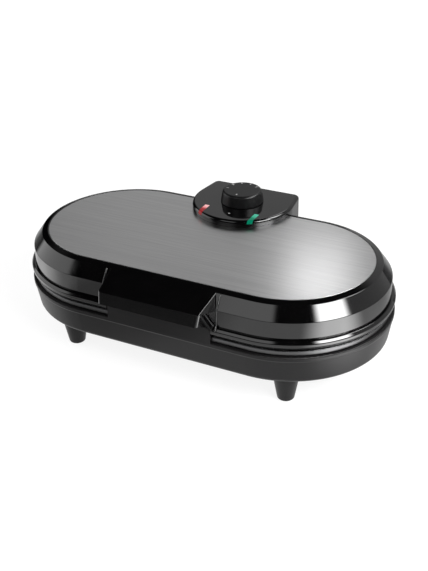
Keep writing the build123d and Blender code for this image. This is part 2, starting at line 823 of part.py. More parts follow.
# Control housing
roof_underside = roof_top - dee_wall
lens_slot = lens_width + 2 * fit_gap
lens_bottom = roof_top - lens_depth
lamp_z = lens_bottom - lamp_drop - lamp_radius
boss_hole_top = roof_top - roof_skin
with BuildPart() as control_housing:
    with BuildSketch(Plane.XY.offset(skirt_bottom)):
        add(dee())
    extrude(amount=roof_top - skirt_bottom)
    fillet(control_housing.faces().sort_by(Axis.Z)[-1].edges(), radius=dee_rim_radius)
    with BuildSketch(Plane.XY.offset(skirt_bottom)):
        add(dee(dee_wall))
    extrude(amount=roof_underside - skirt_bottom, mode=Mode.SUBTRACT)
    # Screw bosses and a cradle for each lamp hang from the roof
    with BuildSketch(Plane.XY.offset(roof_underside)):
        with Locations(*control_screw_spots):
            Circle(screw_head_radius + control_boss_wall)
    extrude(amount=-(roof_underside - lid_top - seam))
    with BuildSketch(Plane.XY.offset(roof_underside)):
        with Locations(*lamp_spots):
            Rectangle(2 * (lamp_radius + lamp_gap + cradle_wall), cradle_length)
            Rectangle(2 * (lamp_radius + lamp_gap), cradle_length, mode=Mode.SUBTRACT)
    extrude(amount=-(roof_underside - lid_top - seam))
    add(lid_form, mode=Mode.SUBTRACT)
    # Slots for the lamp lenses, from the roof over the front rim
    with BuildSketch(Plane.XY.offset(lens_bottom - fit_gap)):
        with Locations((-lens_x, lens_inner + fit_gap), (lens_x, lens_inner + fit_gap)):
            Rectangle(lens_slot, dee_radius / 2, align=(Align.CENTER, Align.MAX))
    extrude(amount=lens_depth + 2, mode=Mode.SUBTRACT)
    with BuildSketch(Plane.XY.offset(roof_underside - 1)):
        with Locations((0, knob_y)):
            Circle(bush_radius + fit_gap)
    extrude(amount=dee_wall + 2, mode=Mode.SUBTRACT)
    with BuildSketch(Plane.XY.offset(lid_top)):
        with Locations(*control_screw_spots):
            Circle(screw_radius + tapped_gap)
    extrude(amount=boss_hole_top - lid_top, mode=Mode.SUBTRACT)
control_housing.part.label = "control_housing"
export_step(control_housing.part, "parts/control_housing.step")

control_screw = screw(lid_underside - fit_gap, boss_hole_top - lid_underside - screw_end_gap, down=False)
with BuildPart() as control_screws:
    with Locations(*control_screw_spots):
        add(control_screw)
control_screws.part.label = "control_screws"
export_step(control_screws.part, "parts/control_screws.step")

# Lamp lenses: bars that follow the housing's roof and wrap over its front rim
for side, colour in ((-1, "red"), (1, "green")):
    with BuildPart() as lens:
        with BuildSketch(Plane.XY.offset(lens_bottom)):
            add(dee())
        extrude(amount=roof_top - lens_bottom)
        fillet(lens.faces().sort_by(Axis.Z)[-1].edges(), radius=dee_rim_radius)
        with BuildSketch(Plane.XY.offset(lens_bottom)):
            with Locations((side * lens_x, lens_inner)):
                Rectangle(lens_width, dee_radius / 2, align=(Align.CENTER, Align.MAX))
        extrude(amount=lens_depth, mode=Mode.INTERSECT)
    lens.part.label = colour + "_lens"
    export_step(lens.part, "parts/" + colour + "_lens.step")
    with BuildPart() as lamp:
        with BuildSketch(Plane.XZ.offset(-(lamp_y - lamp_length / 2))):
            with Locations((side * lens_x, lamp_z)):
                Circle(lamp_radius)
        extrude(amount=-lamp_length)
        fillet(lamp.edges().group_by(Axis.Y)[0], radius=lamp_radius - 0.3)
    lamp.part.label = colour + "_lamp"
    export_step(lamp.part, "parts/" + colour + "_lamp.step")

# Thermostat under the roof, its threaded bush through the roof and held by a nut
thermostat_top = roof_underside - fit_gap
bush_top = roof_top + nut_height + 0.6
with BuildPart() as thermostat:
    with BuildSketch(Plane.XY.offset(thermostat_top)):
        with Locations((0, knob_y)):
            RectangleRounded(thermostat_width, thermostat_length, 2.0)
    extrude(amount=-thermostat_height)
    with BuildSketch(Plane.XY.offset(thermostat_top)):
        with Locations((0, knob_y)):
            Circle(bush_radius)
    extrude(amount=bush_top - thermostat_top)
    with BuildSketch(Plane.XY.offset(thermostat_top - thermostat_height + 3)):
        with Locations((0, knob_y)):
            Circle(shaft_radius + pin_running_gap)
    extrude(amount=bush_top - thermostat_top + thermostat_height, mode=Mode.SUBTRACT)
thermostat.part.label = "thermostat"
export_step(thermostat.part, "parts/thermostat.step")

with BuildPart() as thermostat_nut:
    with BuildSketch(Plane.XY.offset(roof_top + tapped_gap)):
        with Locations((0, knob_y)):
            RegularPolygon(nut_across / 2, 6, major_radius=False)
            Circle(bush_radius + tapped_gap, mode=Mode.SUBTRACT)
    extrude(amount=nut_height)
    chamfer(thermostat_nut.edges().filter_by(GeomType.LINE).group_by(Axis.Z)[-1], length=0.3)
thermostat_nut.part.label = "thermostat_nut"
export_step(thermostat_nut.part, "parts/thermostat_nut.step")

# Knob on the flatted shaft
knob_bottom = roof_top + knob_lift
knob_top = knob_bottom + knob_height
shaft_bottom = thermostat_top - thermostat_height + 3.4
shaft_top = knob_top - knob_wall - 0.4
hub_bottom = bush_top + 0.5
with BuildPart() as thermostat_shaft:
    with BuildSketch(Plane.XY.offset(shaft_bottom)):
        with Locations((0, knob_y)):
            Circle(shaft_radius)
    extrude(amount=shaft_top - shaft_bottom)
    with BuildSketch(Plane.XY.offset(hub_bottom)):
        with Locations((0, knob_y + shaft_flat)):
            Rectangle(2 * shaft_radius, 2.0, align=(Align.CENTER, Align.MIN))
    extrude(amount=shaft_top - hub_bottom, mode=Mode.SUBTRACT)
thermostat_shaft.part.label = "thermostat_shaft"
export_step(thermostat_shaft.part, "parts/thermostat_shaft.step")

with BuildPart() as knob:
    add(turned([
        (0, knob_bottom, 0),
        (knob_base_radius, knob_bottom, knob_foot_edge),
        (knob_top_radius, knob_top, knob_edge),
        (0, knob_top, 0),
    ], 0, knob_y))
    with BuildSketch(Plane.XY.offset(knob_bottom)):
        with Locations((0, knob_y)):
            Circle(knob_top_radius - knob_edge)
    extrude(amount=knob_height - knob_wall, mode=Mode.SUBTRACT)
    with BuildSketch(Plane.XY.offset(hub_bottom)):
        with Locations((0, knob_y)):
            Circle(knob_hub_radius)
    extrude(amount=knob_top - knob_wall - hub_bottom)
    with BuildSketch(Plane.XY.offset(hub_bottom)):
        with Locations((0, knob_y)):
            Circle(shaft_radius + shaft_fit)
        with Locations((0, knob_y + shaft_flat + shaft_fit)):
            Rectangle(3 * shaft_radius, 3.0, align=(Align.CENTER, Align.MIN), mode=Mode.SUBTRACT)
    extrude(amount=shaft_top + 0.1 - hub_bottom, mode=Mode.SUBTRACT)
knob.part.label = "knob"
export_step(knob.part, "parts/knob.step")

# Lid handle: a sloped panel over the front of the lid that ends in a lip, hollow under the lip
side_taper = (handle_root_half - handle_lip_half) / (handle_reach - lid_wall_radius)
lip_end_half = handle_lip_half - side_taper * lip_flare
cheek_inner = tongue_half + cheek_gap
finger_top = lip_top - handle_wall - panel_extra
finger_front = handle_reach - handle_wall - 1
finger_back = rim_radius + finger_back_wall
handle_screw_seat = lid_inner_radius - fit_gap
handle_screw_tip = handle_screw_seat + handle_screw_length
bevel_low = (handle_root_half, -lid_wall_radius, crease_height)
bevel_lip = (handle_lip_half, -handle_reach, lip_top)
bevel_top = (handle_root_half - bevel_inset, -shoulder_radius, shoulder_height)
with BuildPart() as lid_handle:
    with BuildSketch(Plane.YZ):
        with BuildLine():
            FilletPolyline(
                (-lid_rim_radius, lid_top),
                (-handle_reach, lip_top),
                (-lip_out, lip_bottom),
                (-handle_reach + 6, lip_bottom - 3),
                (-rim_radius - 2, lip_bottom - 10.5),
                (-lid_wall_radius - 0.8, upper_face + 4.4),
                (-lid_wall_radius + 6, upper_face + 4.4),
                (-shoulder_radius + 5, lid_top - 6),
                radius=[0, 0, 0, 6.0, 4.0, 0, 0, 0],
                close=True,
            )
        make_face()
    extrude(amount=handle_root_half + 1, both=True)
    with BuildSketch(Plane.XY.offset(upper_face)):
        Polygon(
            (-handle_root_half, -lid_rim_radius),
            (-handle_root_half, -lid_wall_radius),
            (-lip_end_half, -lip_out),
            (lip_end_half, -lip_out),
            (handle_root_half, -lid_wall_radius),
            (handle_root_half, -lid_rim_radius),
            align=None,
        )
    extrude(amount=lid_top - upper_face + 5, mode=Mode.INTERSECT)
    fillet(
        lid_handle.edges().filter_by_position(Axis.Y, -lip_out + 0.5, -handle_reach - 0.5),
        radius=handle_corner,
    )
    # Bevel between the panel and each side
    slant = (Vector(*bevel_top) - Vector(*bevel_low)).cross(Vector(*bevel_lip) - Vector(*bevel_low))
    slant = slant if slant.X > 0 else slant * -1
    for side in (-1, 1):
        normal = (side * slant.X, slant.Y, slant.Z)
        foot_of_bevel = (side * bevel_low[0], bevel_low[1], bevel_low[2])
        with BuildSketch(Plane(foot_of_bevel, x_dir=(0, slant.Z, -slant.Y), z_dir=normal)):
            Rectangle(160, 160)
        extrude(amount=40, mode=Mode.SUBTRACT)
    add(lid_form, mode=Mode.SUBTRACT)
    panel = lid_handle.faces().sort_by(Axis.Z)[-1]
    fillet(panel.edges().sort_by(Axis.Y)[:-1], radius=handle_edge)
    # Room for the tongue, for the bead beside it and for fingers
    with BuildSketch(Plane.XY.offset(upper_face)):
        with Locations((0, -rim_radius - tongue_gap)):
            Rectangle(2 * cheek_inner, 12.0, align=(Align.CENTER, Align.MIN))
    extrude(amount=tongue_top + tongue_gap - upper_face, mode=Mode.SUBTRACT)
    with BuildSketch(Plane.XY.offset(upper_face)):
        with Locations((0, -rim_radius)):
            Rectangle(2 * handle_lip_half + 2, lip_out - rim_radius + 5, align=(Align.CENTER, Align.MAX))
    extrude(amount=lip_bottom - upper_face, mode=Mode.SUBTRACT)
    with BuildSketch(Plane.YZ):
        Polygon(
            (-finger_front, lip_bottom - 1),
            (-finger_front, finger_top),
            (-finger_back, finger_top + (finger_front - finger_back) * panel_slope),
            (-finger_back, lip_bottom - 1),
            align=None,
        )
    extrude(amount=handle_lip_half - finger_side_wall, both=True, mode=Mode.SUBTRACT)
    with BuildSketch(Plane.XZ.offset(lid_wall_radius - 1)):
        with Locations(*handle_screw_spots):
            Circle(screw_radius + tapped_gap)
    extrude(amount=handle_screw_tip + screw_end_gap - lid_wall_radius + 1, mode=Mode.SUBTRACT)
lid_handle.part.label = "lid_handle"
export_step(lid_handle.part, "parts/lid_handle.step")

with BuildPart() as handle_screws:
    with BuildSketch(Plane.XZ.offset(handle_screw_seat)):
        with Locations(*handle_screw_spots):
            Circle(screw_head_radius)
    extrude(amount=-screw_head_height)
    with BuildSketch(Plane.XZ.offset(handle_screw_seat)):
        with Locations(*handle_screw_spots):
            Circle(screw_radius)
    extrude(amount=handle_screw_length)
handle_screws.part.label = "handle_screws"
export_step(handle_screws.part, "parts/handle_screws.step")

# Hinge pins, headed outside the ears
for side, place in ((-1, "left"), (1, "right")):
    with BuildPart() as hinge_pin:
        with BuildSketch(Plane.YZ.offset(side * (barrel_half - pin_depth))):
            with Locations((hinge_y, hinge_z)):
                Circle(pin_radius)
        extrude(amount=side * (pin_depth + ear_gap + ear_thickness + fit_gap))
        with BuildSketch(Plane.YZ.offset(side * (ear_inner + ear_thickness + fit_gap))):
            with Locations((hinge_y, hinge_z)):
                Circle(pin_head_radius)
        extrude(amount=side * pin_head_height)
    hinge_pin.part.label = "hinge_pin_" + place
    export_step(hinge_pin.part, "parts/hinge_pin_" + place + ".step")

# Cord bushing in the tower's rear wall
bushing_inner = tower_rear - tower_wall - inlet_flange_thickness - fit_gap
bushing_outer = tower_rear + inlet_flange_thickness + fit_gap
with BuildPart() as cord_bushing:
    with BuildSketch(Plane.XZ.offset(-bushing_inner)):
        with Locations((0, inlet_z)):
            Circle(inlet_neck)
    extrude(amount=-(bushing_outer - bushing_inner))
    for start in (bushing_inner, bushing_outer - inlet_flange_thickness):
        with BuildSketch(Plane.XZ.offset(-start)):
            with Locations((0, inlet_z)):
                Circle(inlet_flange)
        extrude(amount=-inlet_flange_thickness)
    chamfer(cord_bushing.faces().sort_by(Axis.Y)[-1].edges(), length=0.4)
    with BuildSketch(Plane.XZ.offset(-bushing_inner)):
        with Locations((0, inlet_z)):
            Circle(inlet_bore)
    extrude(amount=-(bushing_outer - bushing_inner), mode=Mode.SUBTRACT)
cord_bushing.part.label = "cord_bushing"
export_step(cord_bushing.part, "parts/cord_bushing.step")

# Terminal block on the base floor in front of the cord passage
poles = [(-pole_pitch, block_y), (0, block_y), (pole_pitch, block_y)]
with BuildPart() as terminal_block:
    with BuildSketch(Plane.XY.offset(floor_top + fit_gap)):
        with Locations((0, block_y)):
            RectangleRounded(block_width, block_length, 1.0)
    extrude(amount=block_height)
    with BuildSketch(Plane.XY.offset(floor_top + block_height / 2 + 1)):
        with Locations(*poles):
            Circle(screw_head_radius + fit_gap)
    extrude(amount=block_height, mode=Mode.SUBTRACT)
    with BuildSketch(Plane.XZ.offset(-block_y)):
        with Locations(*[(x, floor_top + wire_hole_height) for x, _ in poles]):
            Circle(wire_hole_radius)
    extrude(amount=block_length, both=True, mode=Mode.SUBTRACT)
terminal_block.part.label = "terminal_block"
export_step(terminal_block.part, "parts/terminal_block.step")

block_screw_head = floor_top + block_height / 2 + 1 + fit_gap
with BuildPart() as terminal_screws:
    with BuildSketch(Plane.XY.offset(block_screw_head)):
        with Locations(*poles):
            Circle(screw_head_radius)
    extrude(amount=block_screw_height)
    with BuildSketch(Plane.XY.offset(block_screw_head + block_screw_height)):
        with Locations(*poles):
            Rectangle(2 * screw_head_radius + 1, block_screw_slot)
    extrude(amount=-block_screw_slot, mode=Mode.SUBTRACT)
terminal_screws.part.label = "terminal_screws"
export_step(terminal_screws.part, "parts/terminal_screws.step")

# Thermal fuse held against the back of the lower plate by a spring clip
plate_back = lower_face - plate_edge_height
fuse_z = plate_back - fuse_radius - fit_gap
with BuildPart() as thermal_fuse:
    with BuildSketch(Plane.YZ.offset(-fuse_length / 2)):
        with Locations((fuse_y, fuse_z)):
            Circle(fuse_radius)
    extrude(amount=fuse_length)
    chamfer(thermal_fuse.edges().filter_by(GeomType.CIRCLE), length=0.6)
thermal_fuse.part.label = "thermal_fuse"
export_step(thermal_fuse.part, "parts/thermal_fuse.step")

clip_out = fuse_radius + fit_gap + clip_sheet
with BuildPart() as fuse_clip:
    with BuildSketch(Plane.YZ.offset(-clip_width / 2)):
        with Locations((fuse_y, fuse_z)):
            Circle(clip_out)
            Circle(fuse_radius + fit_gap, mode=Mode.SUBTRACT)
        with Locations((fuse_y, fuse_z)):
            Rectangle(4 * clip_out, clip_out, align=(Align.CENTER, Align.MIN), mode=Mode.SUBTRACT)
        for side in (-1, 1):
            with Locations((fuse_y + side * (fuse_radius + fit_gap + clip_sheet / 2), fuse_z)):
                Rectangle(clip_sheet, plate_back - fit_gap - fuse_z, align=(Align.CENTER, Align.MIN))
            clip_foot_y = fuse_y + side * (clip_out + clip_foot / 2 - clip_sheet)
            with Locations((clip_foot_y, plate_back - fit_gap)):
                Rectangle(clip_foot, clip_sheet, align=(Align.CENTER, Align.MAX))
    extrude(amount=clip_width)
fuse_clip.part.label = "fuse_clip"
export_step(fuse_clip.part, "parts/fuse_clip.step")
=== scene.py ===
# %% [markdown]
# # Dressing a heart waffle maker
#
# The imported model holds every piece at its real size, and its hinge and knob already turn. It is
# the frame here: nothing in it is moved. This lesson gives each piece the finish of the real one,
# adds the small printed marks, and sets up the table, the light and the camera.

# %% Load the frame
import json
import math

import bmesh
import bpy
import numpy as np
from mathutils import Matrix, Vector


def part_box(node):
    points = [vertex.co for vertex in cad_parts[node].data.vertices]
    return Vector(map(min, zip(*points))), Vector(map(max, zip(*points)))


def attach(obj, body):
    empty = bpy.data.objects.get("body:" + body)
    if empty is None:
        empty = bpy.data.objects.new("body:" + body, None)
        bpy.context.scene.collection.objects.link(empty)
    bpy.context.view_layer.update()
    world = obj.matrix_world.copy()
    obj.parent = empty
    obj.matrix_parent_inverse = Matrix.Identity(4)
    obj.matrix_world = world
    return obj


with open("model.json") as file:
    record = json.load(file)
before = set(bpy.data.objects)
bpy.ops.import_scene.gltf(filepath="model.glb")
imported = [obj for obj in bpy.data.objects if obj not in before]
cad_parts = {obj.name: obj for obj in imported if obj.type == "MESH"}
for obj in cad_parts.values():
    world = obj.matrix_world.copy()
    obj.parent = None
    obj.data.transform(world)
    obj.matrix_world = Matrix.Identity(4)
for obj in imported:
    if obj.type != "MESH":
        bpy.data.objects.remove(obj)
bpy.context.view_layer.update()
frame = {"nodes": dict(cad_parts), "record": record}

MM = 0.001

# %% [markdown]
# ## The camera
#
# A product picture's camera could be placed by eye, but then every line of the render sits a
# little off. Here its place, its turn and its focal length were worked out from the outlines of
# the lid and the base, so the two pictures can be laid over each other. The two axes given are
# the picture's right and up; the third points back from the object, and is their cross product.

# %% Camera
IMAGE_SIZE = (428, 571)
FOCAL_PIXELS = 960.0
SENSOR_MM = 36.0
FARTHEST_SEEN = 20.0
camera_place = Vector((0.3738, -0.7047, 0.5069))
picture_right = Vector((0.89216, 0.45122, -0.02085)).normalized()
picture_up = Vector((-0.20690, 0.44921, 0.86914)).normalized()
picture_back = picture_right.cross(picture_up).normalized()

camera_data = bpy.data.cameras.new("camera")
camera_data.sensor_width = SENSOR_MM
camera_data.lens = FOCAL_PIXELS * SENSOR_MM / max(IMAGE_SIZE)
camera_data.clip_end = FARTHEST_SEEN
camera = bpy.data.objects.new("camera", camera_data)
camera_axes = Matrix((picture_right, picture_up, picture_back)).transposed().to_4x4()
camera.matrix_world = Matrix.Translation(camera_place) @ camera_axes
bpy.context.scene.collection.objects.link(camera)
bpy.context.scene.camera = camera
bpy.context.scene.view_settings.view_transform = "Standard"
print("lens in mm:", round(camera_data.lens, 2))

# %% [markdown]
# ## Writing finishes as sums
#
# A finish is a tree of nodes. Linking them one by one hides the idea behind it, so one small
# class wraps an output socket and lets it take part in ordinary sums. A finish then reads as a
# formula: what the surface is like at each point.

# %% Fields
class Field:
    """A value that changes over a surface; sums of fields and numbers add Math nodes."""

    def __init__(self, nodes, socket):
        self.nodes, self.socket = nodes, socket

    def maths(self, operation, *terms):
        return self.nodes.add("ShaderNodeMath", {"operation": operation}, terms)

    def __add__(self, other):
        return self.maths("ADD", self, other)

    def __sub__(self, other):
        return self.maths("SUBTRACT", self, other)

    def __rsub__(self, other):
        return self.maths("SUBTRACT", other, self)

    def __mul__(self, other):
        return self.maths("MULTIPLY", self, other)

    def __pow__(self, other):
        return self.maths("POWER", self, other)

    def __abs__(self):
        return self.maths("ABSOLUTE", self)

    __radd__ = __add__

    def at_least(self, low):
        return self.maths("MAXIMUM", self, low)

    def rise(self, low, high):
        """0 below low, 1 above high, and a smooth step between them; high may be the lower one."""
        return self.nodes.add("ShaderNodeMapRange", {"interpolation_type": "SMOOTHSTEP"},
                              {"Value": self, "From Min": low, "From Max": high})


print("a field can be added, subtracted, multiplied, raised and stepped")

# %% [markdown]
# One method adds every other node. Its inputs are given as plain values or as fields, so nothing
# is linked by hand.

# %% Node trees
class Nodes:
    """A node tree that is written as expressions."""

    def __init__(self, tree):
        self.tree = tree

    def add(self, kind, settings=None, values=(), output=0):
        """Adds one node: its settings first, then the values or links of its sockets."""
        node = self.tree.nodes.new(kind)
        for name, setting in (settings or {}).items():
            setattr(node, name, setting)
        pairs = values.items() if isinstance(values, dict) else enumerate(values)
        for key, value in pairs:
            if isinstance(value, Field):
                self.tree.links.new(value.socket, node.inputs[key])
            else:
                node.inputs[key].default_value = value
        return Field(self, node.outputs[output])

    def parts(self, vector):
        """The three parts of a vector as fields."""
        split = self.add("ShaderNodeSeparateXYZ", {}, [vector])
        return [Field(self, socket) for socket in split.socket.node.outputs]


def rgb(red, green=None, blue=None):
    """A colour from three values, or a grey from one."""
    green, blue = (red, red) if green is None else (green, blue)
    return (red, green, blue, 1.0)


print("a grey of a half:", rgb(0.5))

# %% [markdown]
# A material is a node tree that knows where on its piece it is. Its coordinates are the piece's
# own, in millimetres, so a finish can name real sizes, and its grain moves along when the lid
# opens.

# %% Materials
class Finish(Nodes):
    """One material, with the place on its piece in millimetres as its coordinates."""

    def __init__(self, name, **uniform):
        self.material = bpy.data.materials.new(name)
        self.material.use_nodes = True
        super().__init__(self.material.node_tree)
        self.shader = self.tree.nodes["Principled BSDF"]
        place = self.add("ShaderNodeTexCoord", {}, (), "Object")
        self.place = self.add("ShaderNodeVectorMath", {"operation": "SCALE"},
                              {0: place, "Scale": 1 / MM})
        self.x, self.y, self.z = self.parts(self.place)
        self.set(**uniform)

    def set(self, **inputs):
        """Sets or links the shader's sockets, named as in base_color."""
        for name, value in inputs.items():
            socket = self.shader.inputs[name.replace("_", " ").title().replace("Ior", "IOR")]
            if isinstance(value, Field):
                self.tree.links.new(value.socket, socket)
            else:
                socket.default_value = value

    def grain(self, across, up=None, detail=2.0, roughness=0.5, along=None):
        """Noise from 0 to 1 whose lumps are across mm wide, up mm high and along mm long in x."""
        up, along = up or across, along or across
        steps = self.add("ShaderNodeVectorMath", {"operation": "MULTIPLY"},
                         [self.place, (1 / along, 1 / across, 1 / up)])
        return self.add("ShaderNodeTexNoise", {},
                        {"Vector": steps, "Scale": 1.0, "Detail": detail, "Roughness": roughness})

    def mix(self, amount, first, second):
        """first where amount is 0 and second where it is 1, for colours."""
        return self.add("ShaderNodeMix", {"data_type": "RGBA"}, {0: amount, 6: first, 7: second}, 2)

    def relief(self, height_mm):
        """A height in millimetres, given to the shader as bent normals."""
        self.set(normal=self.add("ShaderNodeBump", {}, {"Height": height_mm, "Distance": MM}))


finishes = {}


def finish_for(slot):
    """Keeps the material that the function below makes, under the name of its slot."""
    def keep(make):
        material = finishes[slot] = make().material
        print("finish", material.name, "for", slot, "with", len(material.node_tree.nodes), "nodes")
        return make
    return keep


print("finishes are kept by slot")

# %% [markdown]
# ## The studio
#
# The real thing stands on a white table in a studio. A soft white world lights every side alike,
# and three lamps give the form. The lid is glossy black, so what the eye sees in it is the room:
# the lamps, and the dark gaps between them. A flat lamp mirrors with hard edges, and real soft
# boxes fade at theirs. So the lamps light the object but don't mirror in it, and a shiny surface
# sees a drawn room in their place: soft patches of light on black, and a pale wall behind and to
# the right. The camera itself sees plain white all round.
#
# A direction is a compass angle and a height, in degrees. The compass starts at the object's
# right-hand end and turns towards its back. Three of the patches stand for the lamps. The fourth
# is high up behind the right-hand end, and draws thin light lines on rounded edges at the right.

# %% World
WORLD_LEVEL = 0.52
WALL_LEVEL = 0.46
# Where the wall fades in from the left, in from the front and out upwards, as parts of a direction
WALL_LEFT_EDGE = (-0.74, -0.50)
WALL_FRONT_EDGE = (-0.35, 0.10)
WALL_TOP_EDGE = (0.74, 0.56)

world = bpy.data.worlds.new("studio")
bpy.context.scene.world = world
world.use_nodes = True
studio = Nodes(world.node_tree)
background = world.node_tree.nodes["Background"]

camera_ray = studio.add("ShaderNodeLightPath", {}, (), "Is Camera Ray")
light_path = camera_ray.socket.node
glossy_ray = Field(studio, light_path.outputs["Is Glossy Ray"])
through_ray = Field(studio, light_path.outputs["Is Transmission Ray"])
direction = studio.add("ShaderNodeTexCoord", {}, (), "Generated")
to_right, to_back, upward = studio.parts(direction)


def soft_patch(compass, height, half_width, half_height, edge, brightness):
    """A soft-edged oblong of light on the room's shell; all but the brightness in degrees.

    The direction is turned so that the patch's middle lies ahead. The patch is where the parts
    to either side and above or below are smaller than the sines of its half angles, and ahead
    has to be positive, because the same parts are small again on the far side of the room.
    """
    around, up = math.radians(compass), math.radians(height)
    level_part = to_right * math.cos(around) + to_back * math.sin(around)
    ahead = level_part * math.cos(up) + upward * math.sin(up)
    above = abs(upward * math.cos(up) - level_part * math.sin(up))
    aside = abs(to_back * math.cos(around) - to_right * math.sin(around))
    reach = [[math.sin(math.radians(half + way * edge)) for way in (1, -1)]
             for half in (half_width, half_height)]
    return ahead.rise(0.0, 0.1) * aside.rise(*reach[0]) * above.rise(*reach[1]) * brightness


wall = to_right.rise(*WALL_LEFT_EDGE) * to_back.rise(*WALL_FRONT_EDGE) * upward.rise(*WALL_TOP_EDGE)
mirrored = (wall * WALL_LEVEL
            + soft_patch(-15, 37, half_width=14.5, half_height=8, edge=4, brightness=22.0)
            + soft_patch(-104, 40, half_width=14, half_height=10, edge=3, brightness=1.5)
            + soft_patch(-168, 16, half_width=26, half_height=18, edge=4, brightness=1.5)
            + soft_patch(33, 50, half_width=12, half_height=12, edge=3, brightness=12.0))
seen_shiny = glossy_ray.at_least(through_ray)
level = seen_shiny * (mirrored - WORLD_LEVEL) + WORLD_LEVEL
level = camera_ray * (1.0 - level) + level
world.node_tree.links.new(level.socket, background.inputs["Strength"])
background.inputs["Color"].default_value = rgb(1.0)
print("world nodes:", len(world.node_tree.nodes))

# %% [markdown]
# ## The table
#
# A lit white table is never quite as white as the page, and a glowing one takes no shadow. So what
# the camera and shiny surfaces see is a mix: four fifths glow, and one fifth lit surface, which
# keeps the shadow. To the camera the glow is even, and rises a little far away. To a shiny
# surface the glow is white near the object and dark further out, with painted shade towards the
# back and in a dim pool in front of the left half, and a painted pool of light off each end. The
# lid's wall and the base mirror that painted shade and those painted pools of light.

# %% Table
TABLE_HALF = 4.0
TABLE_SHOWN_WHITE = 0.80
TABLE_WHITE = 1.09
FAR_WHITE = 0.2
FAR_FROM, FAR_TO = 0.45, 0.9
MIRRORED_OUT_TO = 0.40
MIRRORED_ENDS = 0.75
# Strengths of the painted shade behind the object and in the pool in front, and of the painted
# light in the pools off the ends
BEHIND_FROM, BEHIND_TO = 0.02, 0.14
BEHIND_DIMMED = 0.62
POOL_DIMMED = 0.75
POOL_BRIGHT = 8.0

corners = [(-TABLE_HALF, -TABLE_HALF, 0), (TABLE_HALF, -TABLE_HALF, 0),
           (TABLE_HALF, TABLE_HALF, 0), (-TABLE_HALF, TABLE_HALF, 0)]
table_mesh = bpy.data.meshes.new("table")
table_mesh.from_pydata(corners, [], [(0, 1, 2, 3)])
table = bpy.data.objects.new("table", table_mesh)
bpy.context.scene.collection.objects.link(table)

table_finish = Finish("table_white", base_color=rgb(0.86), roughness=0.9)
seen_camera = table_finish.add("ShaderNodeLightPath", {}, (), "Is Camera Ray")
seen_glossy = Field(table_finish, seen_camera.socket.node.outputs["Is Glossy Ray"])
seen_through = Field(table_finish, seen_camera.socket.node.outputs["Is Transmission Ray"])


def from_spot(x, y):
    """The distance on the table from a spot, in metres."""
    across, along = table_finish.x * MM - x, table_finish.y * MM - y
    return (across * across + along * along) ** 0.5


def pool(x, y, out_to, full_to):
    """1 near a spot on the table, as far as full_to, and 0 beyond out_to, in metres."""
    return from_spot(x, y).rise(out_to, full_to)


# Painted shade in the glow that shiny surfaces see: darker behind the object and in a pool in front
# of the left half. Painted light: a pool off each end.
behind = (table_finish.y * MM).rise(BEHIND_FROM, BEHIND_TO)
painted_shade_pool = pool(-0.100, -0.205, out_to=0.125, full_to=0.070)
bright = (pool(0.288, -0.100, out_to=0.128, full_to=0.030) * POOL_BRIGHT
          + pool(-0.300, -0.100, out_to=0.110, full_to=0.020))
near = pool(0.0, 0.0, out_to=MIRRORED_ENDS, full_to=MIRRORED_OUT_TO)
near = near * (1.0 - behind * BEHIND_DIMMED)
near = near * (1.0 - painted_shade_pool * POOL_DIMMED) + bright
far = from_spot(0.0, 0.0).rise(FAR_FROM, FAR_TO)
white = seen_camera * (TABLE_WHITE + far * FAR_WHITE - near) + near
shown = (seen_camera + seen_glossy + seen_through) * TABLE_SHOWN_WHITE
glow = table_finish.add("ShaderNodeEmission", {}, {"Color": rgb(1.0), "Strength": white})
lit = Field(table_finish, table_finish.shader.outputs[0])
surface = table_finish.add("ShaderNodeMixShader", {}, [shown, lit, glow])
table_finish.tree.links.new(surface.socket,
                            table_finish.tree.nodes["Material Output"].inputs["Surface"])
table_mesh.materials.append(table_finish.material)
print("table", 2 * TABLE_HALF, "m square")

# %% [markdown]
# ## The lamps
#
# Each lamp is a flat box of even light. It is given as a brightness, where 1 is white, and the
# power follows from its area. Its direction is within two degrees of the patch that stands for it
# in the drawn room, and it is roughly as wide and high as that patch.

# %% Lamps
LAMP_DISTANCE = 1.1
AIM_HEIGHT = 0.09


def soft_box(name, compass, height, width_angle, height_angle, brightness):
    """A lamp facing the object, as wide and high as the angles say, all in degrees."""
    around, up = math.radians(compass), math.radians(height)
    outward = Vector((math.cos(up) * math.cos(around),
                      math.cos(up) * math.sin(around),
                      math.sin(up)))
    lamp = bpy.data.lights.new(name, "AREA")
    lamp.shape = "RECTANGLE"
    lamp.size = 2 * LAMP_DISTANCE * math.tan(math.radians(width_angle / 2))
    lamp.size_y = 2 * LAMP_DISTANCE * math.tan(math.radians(height_angle / 2))
    lamp.energy = brightness * math.pi * lamp.size * lamp.size_y
    made = bpy.data.objects.new(name, lamp)
    made.visible_camera = made.visible_glossy = False
    turn = outward.to_track_quat("Z", "Y")
    place = outward * LAMP_DISTANCE + Vector((0, 0, AIM_HEIGHT))
    made.matrix_world = Matrix.Translation(place) @ turn.to_matrix().to_4x4()
    bpy.context.scene.collection.objects.link(made)
    print(name, "size", round(lamp.size, 2), round(lamp.size_y, 2), "power", round(lamp.energy, 2))


soft_box("key_lamp", compass=-17, height=36, width_angle=43, height_angle=22, brightness=18.0)
soft_box("front_lamp", compass=-103, height=40, width_angle=32, height_angle=20, brightness=1.5)
soft_box("left_lamp", compass=-168, height=16, width_angle=54, height_angle=36, brightness=1.5)

# %% [markdown]
# A fourth lamp is small and near, because a far lamp shines over the whole of a surface and a near
# one only where it is mirrored. It stands behind the object and gives the steel plate its bright
# patch. The camera doesn't see it, but shiny surfaces do.

# %% Sheen lamp
SHEEN_SIZE = 0.08
SHEEN_BRIGHTNESS = 2.4
SHEEN_PLACE = Vector((-0.004, 0.314, 0.326))
SHEEN_AIM = Vector((0.127, -0.048, 0.104))

